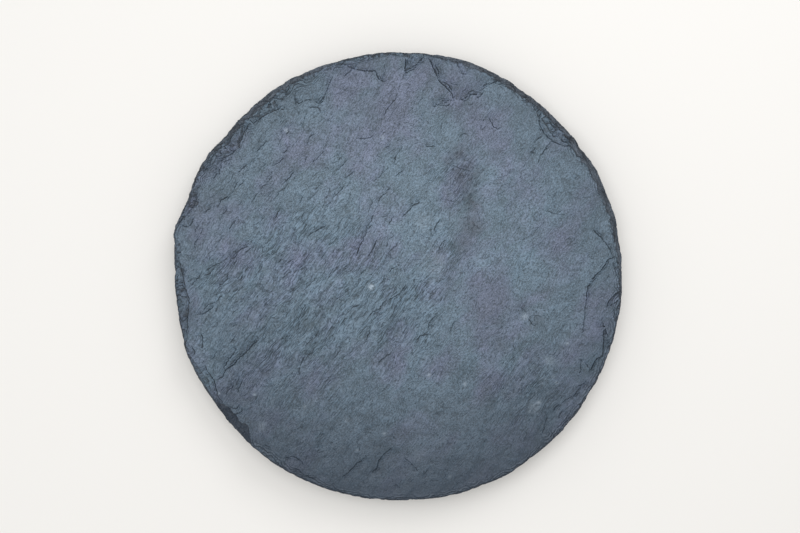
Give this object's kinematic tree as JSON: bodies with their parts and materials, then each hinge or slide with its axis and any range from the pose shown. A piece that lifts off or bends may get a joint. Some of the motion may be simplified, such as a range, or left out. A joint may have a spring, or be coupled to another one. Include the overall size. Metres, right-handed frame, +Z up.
{
  "type": "slate slab",
  "caption": "Round slate stepping stone with a riven blue-grey face and a hammer-dressed edge, laid flat in a garden path.",
  "frame": {"origin": "middle of the stone's bounding box, on the ground it lies on", "axes": "+Z up out of the riven face, +X to the right and +Y away when looking down on it"},
  "size_m": [0.3, 0.3, 0.025],
  "materials": {
    "slate": "riven, dull sheen, with a darker hammer-dressed edge"
  },
  "bodies": {
    "root": {"slate_slab": "slate"}
  },
  "joints": []
}
